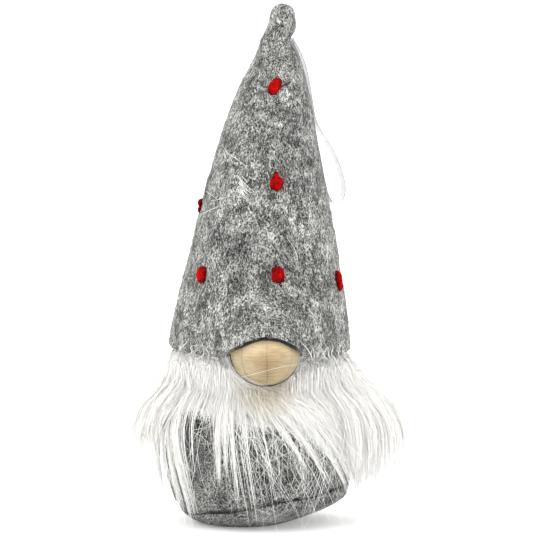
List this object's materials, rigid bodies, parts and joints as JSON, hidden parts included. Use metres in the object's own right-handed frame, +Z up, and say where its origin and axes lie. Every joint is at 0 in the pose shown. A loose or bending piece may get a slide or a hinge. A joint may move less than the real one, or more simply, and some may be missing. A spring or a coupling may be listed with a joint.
{
  "type": "felt gnome figurine",
  "caption": "Standing felt gnome with a weighted ball body, faux fur beard, wooden bead nose and a tall pointed felt hat with wool stitches and a ribbon loop to hang it by.",
  "frame": {"origin": "centre of the flat underside of the base", "axes": "+Z up through the body to the hat's tip, -Y the way the nose points"},
  "size_m": [0.0777, 0.0601, 0.1488],
  "materials": {
    "body_felt": "matte",
    "hat_felt": "matte",
    "red_wool": "matte",
    "ribbon": "satin",
    "nose_wood": "satin",
    "fur": "satin",
    "knit": "matte",
    "thread": "matte",
    "pouch_cloth": "matte",
    "sand": "matte",
    "wadding": "matte",
    "glue": "satin",
    "board": "matte"
  },
  "bodies": {
    "figurine": {"ballast_fill": "sand", "ballast_pouch": "pouch_cloth", "base_board": "board", "base_panel": "body_felt", "base_seam_thread": "thread", "beard_backing": "knit", "beard_front_pile": "fur", "beard_left_pile": "fur", "beard_right_pile": "fur", "body_wadding": "wadding", "gather_thread": "thread", "hat_cone": "hat_felt", "hat_glue_ring": "glue", "hat_seam_thread": "thread", "hat_wadding": "wadding", "loop_tail": "ribbon", "nose_bead": "nose_wood", "nose_glue_pad": "glue", "pouch_tie": "pouch_cloth", "side_panel": "body_felt", "side_seam_thread": "thread", "stitch_01": "red_wool", "stitch_02": "red_wool", "stitch_03": "red_wool", "stitch_04": "red_wool", "stitch_05": "red_wool", "stitch_06": "red_wool", "stitch_07": "red_wool", "stitch_08": "red_wool", "stitch_09": "red_wool", "stitch_10": "red_wool", "stitch_11": "red_wool", "stitch_12": "red_wool"},
    "hanging_loop": {"hang_ribbon": "ribbon"}
  },
  "joints": [
    {"name": "loop_swing", "type": "hinge", "parent": "figurine", "child": "hanging_loop", "pos_m": [0.00926, 0.00298, 0.1384], "axis": [0.5736, -0.8192, 0], "range_deg": [0, 120]}
  ]
}
